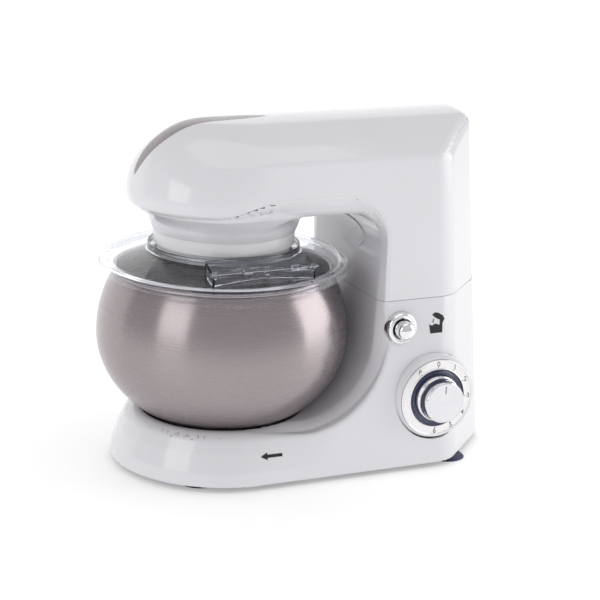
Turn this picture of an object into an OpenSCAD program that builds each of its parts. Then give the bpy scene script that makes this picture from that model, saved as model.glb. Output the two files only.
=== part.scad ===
// Stand mixer: tilting head, planetary drive, twist-lock bowl and clear splash guard.
// Axes: +Z up, the bowl end towards -X, the column towards +X, the controls on the -Y side.
// The origin is on the table, at the middle of the object's box.

/* [Overall] */
// Height of the head's crown above the table
crown_z = 321; // [319:1:323]
// Height of the plane where the head meets the lower column
parting_z = 159; // [158:1:160]
// Half width of the head and the column
half_w = 80; // [79:1:81]
// Wall of the moulded shells
wall = 3; // [2.6:0.1:3.2]

/* [Bowl and guard] */
// Widest radius of the bowl
bowl_r = 116; // [114:1:116]
// Thickness of the bowl's sheet
bowl_t = 1.2; // [1:0.1:1.4]
// Outer radius of the splash guard
guard_r = 114.5; // [113:0.5:115]

/* [Controls] */
// Radius of the speed knob's front face
knob_r = 19.5; // [18:0.5:20]
// How far the knob stands in front of the dial
knob_reach = 15.5; // [14:0.5:15.5]
// How far the release button stands out of its bezel
button_reach = 15.5; // [14:0.5:15.5]

/* [Drive] */
// Distance from the bowl's axis to the beater shaft
orbit_r = 30; // [30:1:30]
// Radius of the beater shaft
shaft_r = 5; // [4.9:0.1:5.2]
// Radius of the shaft's end, which a beater slides over
shaft_end_r = 4.8; // [4.7:0.05:4.9]

/* [Hidden] */
$fn = 96;
foot_h = 5;
rear_foot_x = 258;
rear_top_slope = 0.0974;
bowl_x = -(rear_foot_x - bowl_r) / 2;

// Head
crown_r = 130.5;
nose_cx = -90 + half_w;
nose_x = -23;
nose_z = 256;
nose_a = 67;
nose_b = crown_z - nose_z;
rear_round = 16;

// Rear wall's distance from the bowl's axis at the parting plane
rear_mid_x = 251;

// Chamfered rear corners: the sum of x and |y| at the parting plane, and its change with height
chamfer_sum = 276;
chamfer_up = 0.071;
chamfer_down = 0.12;

// Base: half width of its foot line, and its round front
base_w = 102.5;
base_r = 103.5;
collar_r = 84.5;
collar_z = 51;
recess_r = 74.5;
recess_z = 40;

// Throat between base, column and head: inner outline, and the outline at its bevelled edges
// (x at the upper corner, roof, x at the lower corner, floor, upper and lower corner radius)
throat_in = [126, 242, 121.3, 50, 34, 70];
throat_out = [127.5, 258, 127.5, 46.5, 44, 85];
bevel_y = 72;
blend_x = 60;

// Tilt hinge
tilt_r = 13;
pivot_z = parting_z + tilt_r;
pivot_x = rear_x(pivot_z) - tilt_r;
tilt_gap = 0.8;
lip_h = 5;
pin_r = 4;
play = 0.05;

// Neck, ring and guard
neck_r = 66;
neck_z = 221;
ring_r = 61;
ring_z = 200;

// Bowl ellipse: centre height and the half heights below and above it
belly_z = 122;
belly_low = 92;
belly_high = 115;
bowl_foot_z = 47;
bowl_top_z = 183;

// Speed dial and release button
dial_x = 175.6;
dial_z = 67.8;
dial_y = -100;
dial_r = 37;
button_x = 142.6;
button_z = 134;
button_y = -85.5;
stem_r = 8.5;

// Gears: module and teeth
ring_m = 2;
ring_teeth = 44;
planet_teeth = 14;
drive_m = 1.5;
drive_teeth = 66;
pinion_teeth = 14;
wheel_x = drive_m * (drive_teeth + pinion_teeth) / 2;
motor_x = 186;
belt_z = 291;
belt_h = 11;
belt_t = 2;
pulley_r = 6.7;
belt_wheel_r = 38.7;

foot_spots = [[-45, -62], [-45, 62], [200, -78], [200, 78]];
plate_screw_spots = [[-79.5, -22], [-79.5, 22], [52, -88], [52, 88], [244, -34], [244, 34]];
seat_screw_turns = [95, 215, 335];
chassis_screw_spots = [[150, -71], [150, 71], [188, -71], [188, 71]];

// ---------- shared shapes, all measured from the bowl's axis ----------

function rear_x(z) = z > parting_z
    ? rear_mid_x - (z - parting_z) * rear_top_slope
    : rear_mid_x + (rear_foot_x - rear_mid_x) * (parting_z - z) / (parting_z - foot_h);
function side_y(z) = half_w + (base_w - half_w) * (parting_z - z) / (parting_z - foot_h);
function arc(cx, cz, a, b, t0, t1, n = 14) =
    [for (k = [0 : n]) let (t = t0 + (t1 - t0) * k / n) [cx + a * cos(t), cz + b * sin(t)]];

// Puts a shape drawn from the bowl's axis into the object's own frame
module place() {
    translate([bowl_x, 0, 0]) children();
}

// Extrudes a side view (x, z) across the width, from y0 to y1
module across(y0, y1) {
    translate([0, y1, 0]) rotate([90, 0, 0]) linear_extrude(height = y1 - y0) children();
}

// Extrudes an end view (y, z) along the length, from x0 to x1
module along(x0, x1) {
    translate([x0, 0, 0]) rotate([90, 0, 90]) linear_extrude(height = x1 - x0) children();
}

module tube(r, bore, h) {
    difference() {
        cylinder(r = r, h = h);
        translate([0, 0, -1]) cylinder(r = bore, h = h + 2);
    }
}

module box(x0, x1, y0, y1, z0, z1) {
    translate([x0, y0, z0]) cube([x1 - x0, y1 - y0, z1 - z0]);
}

// Everything behind the chamfered rear corners, moved in by i
module rear_corners(slope, i) {
    lean = atan(slope / sqrt(2));
    for (side = [-1, 1])
        rotate([0, 0, 45 * side])
            translate([chamfer_sum / sqrt(2) - i, 0, parting_z])
                rotate([0, -lean, 0])
                    translate([0, -300, -300]) cube([300, 600, 600]);
}

// Outline of the open throat, grown by g
function throat_outline(t, g) = concat(
    [[-250, t[1] + g], [-250, t[3] - g]],
    arc(t[2] + g - t[5], t[3] - g + t[5], t[5], t[5], -90, 0),
    arc(t[0] + g - t[4], t[1] + g - t[4], t[4], t[4], 0, 90));

module throat(g) {
    across(-bevel_y, bevel_y) polygon(throat_outline(throat_in, g));
    for (side = [-1, 1]) {
        hull() {
            translate([0, side * bevel_y, 0]) across(-0.05, 0.05) polygon(throat_outline(throat_in, g));
            translate([0, side * half_w, 0]) across(-0.05, 0.05) polygon(throat_outline(throat_out, g));
        }
        translate([0, side * (half_w + 20), 0]) across(-20, 20) polygon(throat_outline(throat_out, g));
    }
}

function head_profile(i) = concat(
    arc(nose_x, nose_z, nose_a - i, nose_b - i, 180, 90, 18),
    arc(rear_x(crown_z - rear_round) - rear_round, crown_z - rear_round,
        rear_round - i, rear_round - i, 90, 0, 10),
    arc(pivot_x, pivot_z, tilt_r - i, tilt_r - i, 0, -90, 12),
    i > 0 ? [[pivot_x, parting_z - 1], [nose_x - nose_a + i, parting_z - 1]]
          : [[nose_x - nose_a, parting_z]]);

// The head's outer form, moved in by i
module head_solid(i) {
    difference() {
        intersection() {
            across(-150, 150) polygon(head_profile(i));
            translate([0, 0, 100]) linear_extrude(height = 300) {
                translate([nose_cx, 0]) circle(r = half_w - i);
                translate([nose_cx, i - half_w]) square([400, 2 * (half_w - i)]);
            }
            translate([-150, 0, crown_z - crown_r]) rotate([0, 90, 0]) cylinder(r = crown_r - i, h = 500);
        }
        rear_corners(chamfer_up, i);
    }
}

function lower_profile(i) = i > 0
    ? [[0, 0], [rear_x(0) - i, 0], [rear_x(parting_z - i) - i, parting_z - i], [0, parting_z - i]]
    : [[0, foot_h], [rear_foot_x, foot_h], [rear_mid_x, parting_z],
       [rear_x(parting_z + lip_h), parting_z + lip_h],
       [pivot_x, parting_z + lip_h], [pivot_x, parting_z], [0, parting_z]];

function side_section(z0, z1, i) =
    [[i - side_y(z0), z0], [side_y(z0) - i, z0], [side_y(z1) - i, z1], [i - side_y(z1), z1]];

// The base and the lower column, moved in by i
module lower_solid(i) {
    low = i > 0 ? 0 : foot_h;
    difference() {
        union() {
            hull() {
                translate([0, 0, low]) cylinder(r1 = base_r - i, r2 = base_r - 4 - i, h = 19 - low);
                translate([0, 0, 43 - i]) cylinder(r = base_r - 12.5 - i, h = 0.1);
                translate([0, 0, collar_z - i - 0.1]) cylinder(r = collar_r - i, h = 0.1);
                along(blend_x, blend_x + 0.1)
                    polygon(side_section(low, throat_out[3] - i, i));
                along(blend_x, blend_x + 0.1)
                    polygon([[-bevel_y, low], [bevel_y, low], [bevel_y, throat_in[3] - i],
                             [-bevel_y, throat_in[3] - i]]);
            }
            difference() {
                intersection() {
                    across(-150, 150) polygon(lower_profile(i));
                    along(blend_x, 300) polygon(side_section(0, 170, i));
                }
                throat(i);
                rear_corners(chamfer_down, i);
            }
        }
        translate([pivot_x, 0, pivot_z]) rotate([90, 0, 0])
            cylinder(r = tilt_r + tilt_gap + i, h = 300, center = true);
    }
}

// Outline of a spur gear: module, teeth, backlash in degrees, depth and height of a tooth
function gear_outline(m, teeth, slack, low = 1.2, high = 0.9) =
    let (rp = m * teeth / 2, pitch = 360 / teeth, half = pitch / 4 - slack,
         a = rp - low * m, b = rp + high * m)
    [for (k = [0 : teeth - 1])
        for (p = [[a, 1.5], [rp, 1], [b, 0.45], [b, -0.45], [rp, -1], [a, -1.5]])
            let (t = k * pitch - p[1] * half) [p[0] * cos(t), p[0] * sin(t)]];

// ---------- base ----------

module base_housing() color([0.93, 0.93, 0.94]) place() difference() {
    union() {
        difference() {
            lower_solid(0);
            difference() {
                lower_solid(wall);
                translate([0, 0, recess_z - wall]) cylinder(r = recess_r + wall, h = 60);
            }
        }
        for (spot = plate_screw_spots)
            translate([spot[0], spot[1], foot_h + 3]) cylinder(r = 4.5, h = 37.5);
    }
    translate([0, 0, recess_z]) cylinder(r = recess_r, h = 60);
    translate([0, 0, collar_z]) cylinder(r1 = recess_r + 2, r2 = recess_r + 11, h = 8);
    for (spot = plate_screw_spots)
        translate([spot[0], spot[1], 0]) cylinder(r = 2, h = 20);
    for (turn = seat_screw_turns)
        rotate([0, 0, turn]) translate([68.5, 0, recess_z - 10]) cylinder(r = 1.8, h = 20);
    // slots in the deck for the hinge ears, the striker, the tilt switch and the wires
    for (side = [-1, 1]) {
        box(pivot_x - 16, pivot_x + 1, side * 22 - 3, side * 22 + 3, parting_z - 8, parting_z + 8);
        translate([pivot_x - 27, side * 20, parting_z - 8]) cylinder(r = 2, h = 16);
    }
    box(132, 148, -54, -36, parting_z - 8, parting_z + 8);
    box(156, 163, 56, 63, parting_z - 8, parting_z + 8);
    box(165, 195, 20, 50, parting_z - 8, parting_z + 8);
    // openings for the dial, the button and the cord gland
    translate([dial_x, -60, dial_z]) rotate([90, 0, 0]) cylinder(r = dial_r + 3.3, h = 60);
    translate([button_x, -60, button_z]) rotate([90, 0, 0]) cylinder(r = 15.3, h = 60);
    box(240, 300, -5.85, 5.85, 32 - 5.85, 32 + 5.85);
}

module base_plate() color([0.30, 0.31, 0.36]) place() difference() {
    intersection() {
        lower_solid(wall + 0.4);
        box(-150, 280, -150, 150, foot_h, foot_h + 3);
    }
    for (k = [0 : 6])
        box(70 + 10 * k, 75 + 10 * k, -30, 30, 0, 20);
    for (spot = foot_spots)
        translate([spot[0], spot[1], 0]) cylinder(r = 6.05, h = 20);
    for (spot = plate_screw_spots)
        translate([spot[0], spot[1], 0]) cylinder(r = 2, h = 20);
}

module plate_screws() color([0.62, 0.62, 0.64]) place()
    for (spot = plate_screw_spots)
        translate([spot[0], spot[1], foot_h - 2]) {
            cylinder(r = 4, h = 2);
            cylinder(r = 2, h = 14);
        }

module suction_feet() color([0.20, 0.22, 0.32]) place()
    for (spot = foot_spots)
        translate([spot[0], spot[1], 0]) rotate_extrude()
            polygon([[0, 2], [11, 0], [17, 0], [13, 3], [11, foot_h], [6, foot_h], [6, foot_h + 3],
                     [8, foot_h + 4], [0, foot_h + 4]]);

// Ring that holds the bowl: channels for three lugs, each with an open entry at its end
module bowl_seat() color([0.16, 0.16, 0.18]) place() difference() {
    translate([0, 0, recess_z]) rotate_extrude()
        polygon([[57, 0], [74, 0], [74, 6.4], [62.8, 6.4], [62.8, 1], [57, 1]]);
    for (turn = [0 : 120 : 240]) {
        rotate([0, 0, turn - 1]) rotate_extrude(angle = 73)
            translate([60, recess_z + 1.2]) square([9.5, 2.1]);
        rotate([0, 0, turn + 38]) rotate_extrude(angle = 33)
            translate([59, recess_z + 2.2]) square([10.2, 20]);
    }
    for (turn = seat_screw_turns)
        rotate([0, 0, turn]) translate([68.5, 0, recess_z]) {
            translate([0, 0, -1]) cylinder(r = 1.8, h = 20);
            translate([0, 0, 4.2]) cylinder(r = 3.8, h = 20);
        }
}

module seat_screws() color([0.62, 0.62, 0.64]) place()
    for (turn = seat_screw_turns)
        rotate([0, 0, turn]) translate([68.5, 0, recess_z]) {
            translate([0, 0, -2.8]) cylinder(r = 1.8, h = 7.1);
            translate([0, 0, 4.2]) cylinder(r = 3.6, h = 1.8);
        }

module hinge_bracket() color([0.62, 0.63, 0.65]) place() {
    difference() {
        for (side = [-1, 1])
            across(side * 22 - 2, side * 22 + 2) {
                translate([pivot_x, pivot_z]) circle(r = 8);
                translate([pivot_x - 14, parting_z - 6]) square([13, pivot_z - parting_z + 6]);
            }
        translate([pivot_x, 0, pivot_z]) rotate([90, 0, 0]) cylinder(r = pin_r, h = 80, center = true);
    }
    difference() {
        union() {
            box(pivot_x - 34, pivot_x - 1, -32, 32, parting_z - 9, parting_z - 6);
            box(pivot_x - 34, pivot_x - 20, -32, 32, parting_z - 9, parting_z - 3);
        }
        for (side = [-1, 1])
            translate([pivot_x - 27, side * 20, 0]) cylinder(r = 2, h = 200);
    }
}

module hinge_screws() color([0.62, 0.62, 0.64]) place()
    for (side = [-1, 1])
        translate([pivot_x - 27, side * 20, parting_z - 11]) {
            cylinder(r = 4, h = 2);
            cylinder(r = 2, h = 11.5);
        }

module hinge_pin() color([0.72, 0.72, 0.74]) place()
    translate([pivot_x, 0, pivot_z]) rotate([90, 0, 0]) cylinder(r = pin_r, h = 50, center = true);

module button_bezel() color([0.86, 0.86, 0.88]) place()
    translate([button_x, button_y, button_z]) rotate([90, 0, 0]) rotate_extrude()
        polygon([[4 + play, -21], [12, -21], [12, -8], [15.2, -8], [15.2, 1], [13.4, 4], [11, 4],
                 [stem_r + 0.6, 1.5], [stem_r + 0.6, -19], [4 + play, -19]]);

module dial_bezel() color([0.88, 0.88, 0.90]) place()
    translate([dial_x, dial_y, dial_z]) rotate([90, 0, 0]) rotate_extrude()
        polygon([[10, -14], [dial_r + 3.2, -14], [dial_r + 3.2, -9], [dial_r, -1.5], [dial_r - 1, 0],
                 [28, 0], [27.5, -5], [10, -5]]);

module dial_ring() color([0.15, 0.18, 0.36]) place()
    translate([dial_x, dial_y, dial_z]) rotate([90, 0, 0]) rotate_extrude()
        polygon([[20, -5], [27.4, -5], [27.4, -1.6], [26, -1.2], [24.5, -2.4], [20, -2.4]]);

module speed_switch() color([0.22, 0.22, 0.24]) place() difference() {
    union() {
        box(dial_x - 16, dial_x + 16, dial_y + 16, dial_y + 40, dial_z - 17, dial_z + 17);
        translate([dial_x, dial_y + 16, dial_z]) rotate([90, 0, 0]) cylinder(r = 6, h = 2);
        for (k = [-1, 0, 1])
            box(dial_x + 8 * k - 2, dial_x + 8 * k + 2, dial_y + 40, dial_y + 47, dial_z - 0.5, dial_z + 0.5);
    }
    translate([dial_x, dial_y + 30, dial_z]) rotate([90, 0, 0]) cylinder(r = 3 + play, h = 30);
}

module control_board() color([0.10, 0.35, 0.20]) place() {
    box(104, 160, -40, 40, 12, 13.6);
    for (k = [0 : 3])
        box(110 + 12 * k, 118 + 12 * k, -34, -22, 13.6, 22 + 2 * k);
    translate([125, 20, 13.6]) cylinder(r = 9, h = 22);
    translate([148, 20, 13.6]) tube(8, 3, 9);
    for (x = [108, 156], y = [-36, 36])
        translate([x, y, foot_h + 3]) cylinder(r = 2.5, h = 4);
}

module tilt_switch() color([0.15, 0.15, 0.17]) place() {
    box(150, 170, 56, 63, parting_z - 16, parting_z - 3);
    box(158, 161, 58, 61, parting_z - 3, parting_z + 5.4);
}

module cord_gland() color([0.18, 0.18, 0.20]) place()
    translate([rear_x(32) - 1.5, 0, 32]) rotate([0, 90, 0]) rotate_extrude()
        polygon([[3.5, -6.5], [8.5, -6.5], [8.5, -2.6], [5.8, -2.6], [5.8, 2.5], [8.5, 2.5], [8, 4.3], [3.5, 4.3]]);

// ---------- controls that move ----------

module release_button() color([0.88, 0.88, 0.90]) place()
    translate([button_x, button_y, button_z]) rotate([90, 0, 0]) rotate_extrude()
        polygon(concat([[0, -28], [4, -28], [4, -6], [stem_r, -6]],
                       arc(0, button_reach - 5, stem_r, 5, 0, 90, 6)));

module latch_bar() color([0.60, 0.61, 0.63]) place() {
    box(137, 148, button_y + 28, -24, 130, 140);
    box(137, 145, -35.5, -27, 140, 154);
}

module button_spring() color([0.70, 0.70, 0.72]) place()
    translate([button_x, button_y + 6.1, button_z]) rotate([-90, 0, 0])
        linear_extrude(height = 12.8, twist = -1440, slices = 72, $fn = 8)
            polygon(concat(arc(0, 0, 6.4, 6.4, 0, 160, 8), arc(0, 0, 5.2, 5.2, 160, 0, 8)));

module speed_knob() color([0.86, 0.86, 0.88]) place()
    translate([dial_x, dial_y, dial_z]) rotate([90, 0, 0]) rotate_extrude()
        polygon([[0, -27], [3, -27], [3, -13], [9, -13], [9, -4], [19.5, -4], [19.5, -1.8], [24, -1.8],
                 [24, 0.5], [knob_r + 1.5, 2.5], [knob_r + 0.5, 3], [knob_r, 5],
                 [knob_r, knob_reach - 1], [knob_r - 1, knob_reach], [0, knob_reach]]);

// ---------- bowl ----------

function bowl_side(z, t) =
    (bowl_r - t) * sqrt(1 - pow((z - belly_z) / ((z < belly_z ? belly_low : belly_high) - t), 2));

module bowl() color([0.78, 0.75, 0.74]) place() rotate_extrude() {
    zs = [for (k = [0 : 24]) bowl_foot_z + 5 + (bowl_top_z - bowl_foot_z - 5) * k / 24];
    polygon(concat(
        [[0, bowl_foot_z], [64, bowl_foot_z]],
        [for (z = zs) [bowl_side(z, 0), z]],
        [for (k = [24 : -1 : 0]) [bowl_side(zs[k], bowl_t), zs[k]]],
        [[62, bowl_foot_z + bowl_t], [0, bowl_foot_z + bowl_t]]));
    translate([bowl_side(bowl_top_z, 0) + 0.8, bowl_top_z]) circle(r = 2);
}

module bowl_foot() color([0.74, 0.72, 0.72]) place() {
    translate([0, 0, recess_z + 1.2]) tube(62, 60.4, bowl_foot_z - recess_z - 1.2);
    for (turn = [0 : 120 : 240])
        rotate([0, 0, turn]) rotate_extrude(angle = 28)
            translate([61, recess_z + 1.4]) square([7.8, 1.6]);
}

// ---------- head ----------

// Leaf-shaped prism along the crown, made smaller by i
module inlay_leaf(i) {
    r = 190;
    translate([-13, 0, 260]) intersection() {
        translate([0, r - 11, 0]) cylinder(r = r - i, h = 100);
        translate([0, 11 - r, 0]) cylinder(r = r - i, h = 100);
    }
}

module screw_bosses() {
    intersection() {
        head_solid(1);
        for (spot = chassis_screw_spots)
            translate([spot[0], spot[1], parting_z + 9]) cylinder(r = 6.5, h = 22);
    }
}

module head_cover() color([0.94, 0.94, 0.95]) place() difference() {
    union() {
        difference() {
            head_solid(0);
            head_solid(wall);
            throat(wall + 0.2);
        }
        screw_bosses();
    }
    box(-150, nose_cx + 1, -150, 150, 100, throat_out[1] + wall + 0.2);
    box(pivot_x, 300, -150, 150, 100, pivot_z - 7);
    for (spot = chassis_screw_spots)
        translate([spot[0], spot[1], parting_z]) cylinder(r = 1.8, h = 26);
    difference() {
        inlay_leaf(0);
        head_solid(1.2);
    }
}

module head_inlay() color([0.55, 0.52, 0.55]) place() difference() {
    intersection() {
        head_solid(0.2);
        inlay_leaf(0.1);
    }
    head_solid(1.2);
}

module head_underside() color([0.90, 0.90, 0.92]) place() difference() {
    union() {
        difference() {
            intersection() {
                head_solid(0);
                throat(wall);
                box(nose_cx, 300, -150, 150, 100, 300);
            }
            throat(0);
        }
        intersection() {
            translate([nose_cx, 0, throat_in[1]]) rotate_extrude()
                polygon([[0, 0], [bevel_y, 0], [half_w, 16], [half_w, 16 + wall],
                         [half_w - wall, 16 + wall], [half_w - wall, 16.8], [bevel_y - 2.5, wall], [0, wall]]);
            box(-150, nose_cx + 0.01, -150, 150, 100, 300);
        }
        neck_form();
    }
    translate([0, 0, 150]) cylinder(r = neck_r - wall, h = throat_in[1] + wall - 149);
}

// Round neck under the head, flared into its underside
module neck_form() {
    intersection() {
        rotate_extrude()
            polygon([[0, neck_z], [neck_r, neck_z], [68, 224], [71, 231], [78, 238],
                     [86, throat_in[1]], [86, throat_in[1] + 0.5], [0, throat_in[1] + 0.5]]);
        union() {
            translate([nose_cx, 0, 200]) cylinder(r = bevel_y, h = 60);
            box(nose_cx, 100, -bevel_y, bevel_y, 200, 260);
        }
    }
}

module badge_plate() color([0.88, 0.88, 0.90]) place() difference() {
    intersection() {
        throat(0);
        along(80, 140) polygon(arc(-5, 209, 30, 14, 0, 355, 71));
    }
    translate([-1.2, 0, 0]) throat(0);
}

// White ring under the neck, with three lugs that carry the splash guard
module neck_ring() color([0.95, 0.95, 0.96]) place() {
    rotate_extrude()
        polygon([[57, ring_z - 1.4], [ring_r, ring_z - 1.4], [ring_r, 208], [64.5, 208],
                 [64.5, neck_z], [62.8, neck_z], [62.8, neck_z + 4], [59.8, neck_z + 4],
                 [59.8, 213.5], [57, 213.5]]);
    for (turn = [0 : 120 : 240])
        rotate([0, 0, turn + 20]) rotate_extrude(angle = 24)
            translate([ring_r - 1, ring_z - 1.4]) square([4.2, 1.8]);
}

module head_chassis() color([0.66, 0.67, 0.70]) place() difference() {
    union() {
        intersection() {
            head_solid(wall + 0.5);
            box(throat_in[0] + wall + 3, pivot_x - 17, -78, 78, parting_z + 6, parting_z + 9);
        }
        for (side = [-1, 1])
            across(side * 16 - 3.4, side * 16 + 3.4) {
                translate([pivot_x, pivot_z]) circle(r = 8);
                translate([pivot_x - 30, parting_z + 6]) square([30, 6]);
            }
    }
    translate([pivot_x, 0, pivot_z]) rotate([90, 0, 0]) cylinder(r = pin_r + play, h = 80, center = true);
    for (spot = chassis_screw_spots)
        translate([spot[0], spot[1], parting_z]) cylinder(r = 1.8, h = 26);
}

module chassis_screws() color([0.62, 0.62, 0.64]) place()
    for (spot = chassis_screw_spots)
        translate([spot[0], spot[1], parting_z + 4]) {
            cylinder(r = 3.6, h = 2);
            cylinder(r = 1.8, h = 18);
        }

module latch_striker() color([0.60, 0.61, 0.63]) place() {
    box(139, 143, -48, -42, parting_z - 14, parting_z + 6);
    box(139, 143, -42, -36.5, parting_z - 14, parting_z - 10);
}

module gearbox_housing() color([0.68, 0.69, 0.72]) place() difference() {
    union() {
        translate([0, 0, 214]) tube(59.5, 56, 48);
        translate([0, 0, 258]) cylinder(r = 59.5, h = 5);
        translate([0, 0, 232]) cylinder(r = 17, h = 34);
        box(40, 78, -14, 14, 258, 263);
        for (side = [-1, 1]) {
            box(70, 139, side * 40 - 5, side * 40 + 5, 258, 263);
            box(134, 139, side * 40 - 5, side * 40 + 5, parting_z + 9, 263);
        }
        box(56, 74, -45, 45, 258, 263);
    }
    translate([0, 0, 200]) cylinder(r = 6.6, h = 100);
    translate([0, 0, 231]) cylinder(r = 13, h = 8);
    translate([0, 0, 258]) cylinder(r = 13, h = 20);
    translate([wheel_x, 0, 250]) cylinder(r = 4, h = 40);
}

module shaft_bearings() color([0.75, 0.76, 0.78]) place()
    for (z = [232, 258])
        translate([0, 0, z]) tube(12.98, 6 + play, 7);

module ring_gear() color([0.80, 0.78, 0.70]) place() difference() {
    translate([0, 0, 214.2]) cylinder(r = 55.9, h = 10);
    translate([0, 0, 210]) linear_extrude(height = 20)
        polygon(gear_outline(ring_m, ring_teeth, -0.25, 0.9, 1.2));
}

module wheel_axle() color([0.72, 0.72, 0.74]) place()
    translate([wheel_x, 0, 258]) cylinder(r = 4, h = 48);

// ---------- motor ----------

module stator_core() color([0.45, 0.45, 0.48]) place() translate([motor_x, 0, 206]) difference() {
    intersection() {
        translate([-33, -33, 0]) cube([66, 66, 44]);
        cylinder(r = 41, h = 44);
    }
    translate([0, 0, -1]) cylinder(r = 21, h = 60);
    for (side = [-1, 1])
        translate([side * 25.5 - 5, -17, -1]) cube([10, 34, 60]);
}

module field_coils() color([0.72, 0.38, 0.20]) place() translate([motor_x, 0, 199])
    for (side = [-1, 1])
        translate([side * 25.5 - 4.4, -16, 0]) cube([8.8, 32, 58]);

module motor_bracket(z) {
    difference() {
        union() {
            translate([motor_x - 34, -10, z]) cube([68, 20, 4]);
            translate([motor_x - 10, -34, z]) cube([20, 68, 4]);
            translate([motor_x, 0, z]) cylinder(r = 14, h = 8);
        }
        translate([motor_x, 0, z - 1]) cylinder(r = 4 + play, h = 20);
    }
}

module motor_top_bracket() color([0.68, 0.69, 0.72]) place() {
    motor_bracket(277);
    for (side = [-1, 1])
        translate([motor_x, side * 29, 250]) cylinder(r = 3, h = 27);
}

module motor_bottom_bracket() color([0.68, 0.69, 0.72]) place() {
    difference() {
        motor_bracket(174);
        translate([motor_x, 0, 178]) cylinder(r = 20, h = 10);
    }
    for (side = [-1, 1]) {
        translate([motor_x + side * 30, 0, parting_z + 9]) cylinder(r = 4, h = 15);
        translate([motor_x, side * 30, 178]) cylinder(r = 2, h = 28);
    }
}

module carbon_brushes() color([0.12, 0.12, 0.13]) place()
    for (side = [-1, 1])
        box(motor_x - 3, motor_x + 3, side * 19.2 - 6.7, side * 19.2 + 6.7, 264, 272);

module armature_core() color([0.50, 0.50, 0.53]) place() translate([motor_x, 0, 206])
    difference() {
        cylinder(r = 20.4, h = 44);
        translate([0, 0, -1]) cylinder(r = 4, h = 60);
        for (k = [0 : 11])
            rotate([0, 0, 30 * k]) translate([14, -1.5, -1]) cube([10, 3, 60]);
    }

module motor_shaft() color([0.72, 0.72, 0.74]) place()
    translate([motor_x, 0, 174]) cylinder(r = 4, h = 129);

module commutator() color([0.75, 0.45, 0.25]) place()
    translate([motor_x, 0, 260]) tube(12, 4, 14);

module cooling_fan() color([0.25, 0.25, 0.27]) place() translate([motor_x, 0, 184]) {
    tube(9, 4, 12);
    difference() {
        cylinder(r = 26, h = 1.5);
        translate([0, 0, -1]) cylinder(r = 4, h = 5);
    }
    for (k = [0 : 8])
        rotate([0, 0, 40 * k]) translate([8, -0.8, 0]) cube([18, 1.6, 11]);
}

module motor_pulley() color([0.35, 0.35, 0.37]) place() translate([motor_x, 0, belt_z]) difference() {
    union() {
        cylinder(r = pulley_r, h = belt_h);
        cylinder(r = pulley_r + 3, h = 1);
    }
    translate([0, 0, -1]) cylinder(r = 4, h = 30);
}

// Closed outline round both pulleys, grown by g
function belt_loop(g) =
    let (lean = acos((belt_wheel_r - pulley_r) / (motor_x - wheel_x)))
    concat(arc(wheel_x, 0, belt_wheel_r + g, belt_wheel_r + g, lean, 360 - lean, 64),
           arc(motor_x, 0, pulley_r + g, pulley_r + g, -lean, lean, 24));

module drive_belt() color([0.13, 0.13, 0.14]) place()
    translate([0, 0, belt_z + 1.6]) linear_extrude(height = belt_h - 2.2) difference() {
        polygon(belt_loop(0.3 + belt_t));
        polygon(belt_loop(0.3));
    }

module belt_wheel() color([0.30, 0.30, 0.32]) place() translate([wheel_x, 0, belt_z]) difference() {
    union() {
        cylinder(r = belt_wheel_r, h = belt_h);
        cylinder(r = belt_wheel_r + 3, h = 1);
    }
    translate([0, 0, -1]) cylinder(r = 4 + play, h = 30);
    translate([0, 0, 4]) rotate_extrude() translate([12, 0]) square([20, 20]);
}

module pinion_gear() color([0.82, 0.80, 0.72]) place()
    translate([wheel_x, 0, 268]) difference() {
        linear_extrude(height = belt_z - 268) rotate([0, 0, 180 + 180 / pinion_teeth])
            polygon(gear_outline(drive_m, pinion_teeth, 0.9));
        translate([0, 0, -1]) cylinder(r = 4 + play, h = 40);
    }

// ---------- planetary drive ----------

module drive_gear() color([0.85, 0.83, 0.76]) place() translate([0, 0, 270]) difference() {
    linear_extrude(height = 12) polygon(gear_outline(drive_m, drive_teeth, 0.2));
    translate([0, 0, -1]) cylinder(r = 6, h = 30);
    translate([0, 0, 5]) rotate_extrude() translate([14, 0]) square([26, 20]);
}

module carrier_shaft() color([0.72, 0.72, 0.74]) place()
    translate([0, 0, 203]) cylinder(r = 6, h = 82);

module planet_carrier() color([0.93, 0.93, 0.94]) place() difference() {
    union() {
        translate([0, 0, 201]) cylinder(r = 54, h = 3);
        translate([0, 0, 204]) tube(54, 51, 6);
        translate([0, 0, 203]) cylinder(r = 11, h = 27);
        translate([orbit_r, 0, 196]) cylinder(r = 12, h = 17);
    }
    translate([0, 0, 202.9]) cylinder(r = 6, h = 40);
    translate([orbit_r, 0, 190]) cylinder(r = shaft_r + play, h = 40);
}

module planet_gear() color([0.82, 0.80, 0.72]) place() translate([orbit_r, 0, 214.2]) difference() {
    linear_extrude(height = 9) polygon(gear_outline(ring_m, planet_teeth, 0.9));
    translate([0, 0, -1]) cylinder(r = shaft_r, h = 30);
}

module beater_shaft() color([0.76, 0.76, 0.78]) place() translate([orbit_r, 0, 166]) difference() {
    union() {
        cylinder(r = shaft_end_r, h = 20);
        translate([0, 0, 20]) cylinder(r = shaft_r, h = 38);
    }
    translate([0, 0, 22]) rotate([90, 0, 0]) cylinder(r = 1.5, h = 40, center = true);
}

module drive_pin() color([0.70, 0.70, 0.72]) place()
    translate([orbit_r, 0, 188]) rotate([90, 0, 0]) cylinder(r = 1.5, h = 17, center = true);

module shaft_collar() color([0.80, 0.80, 0.82]) place()
    translate([orbit_r, 0, 191]) tube(11, shaft_r, 4);

// ---------- splash guard ----------

// The chute runs in X from chute[0] to chute[1], in Y from chute[2] to chute[3]
chute = [-46, 52, -89, -70];
rod_y = -88.5;
rod_z = 202;
flap_lean = 25;

// Puts a shape drawn round the rod, with the chute's rim level, into its leaning place
module on_rod() {
    translate([0, rod_y, rod_z]) rotate([flap_lean, 0, 0]) children();
}

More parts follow.
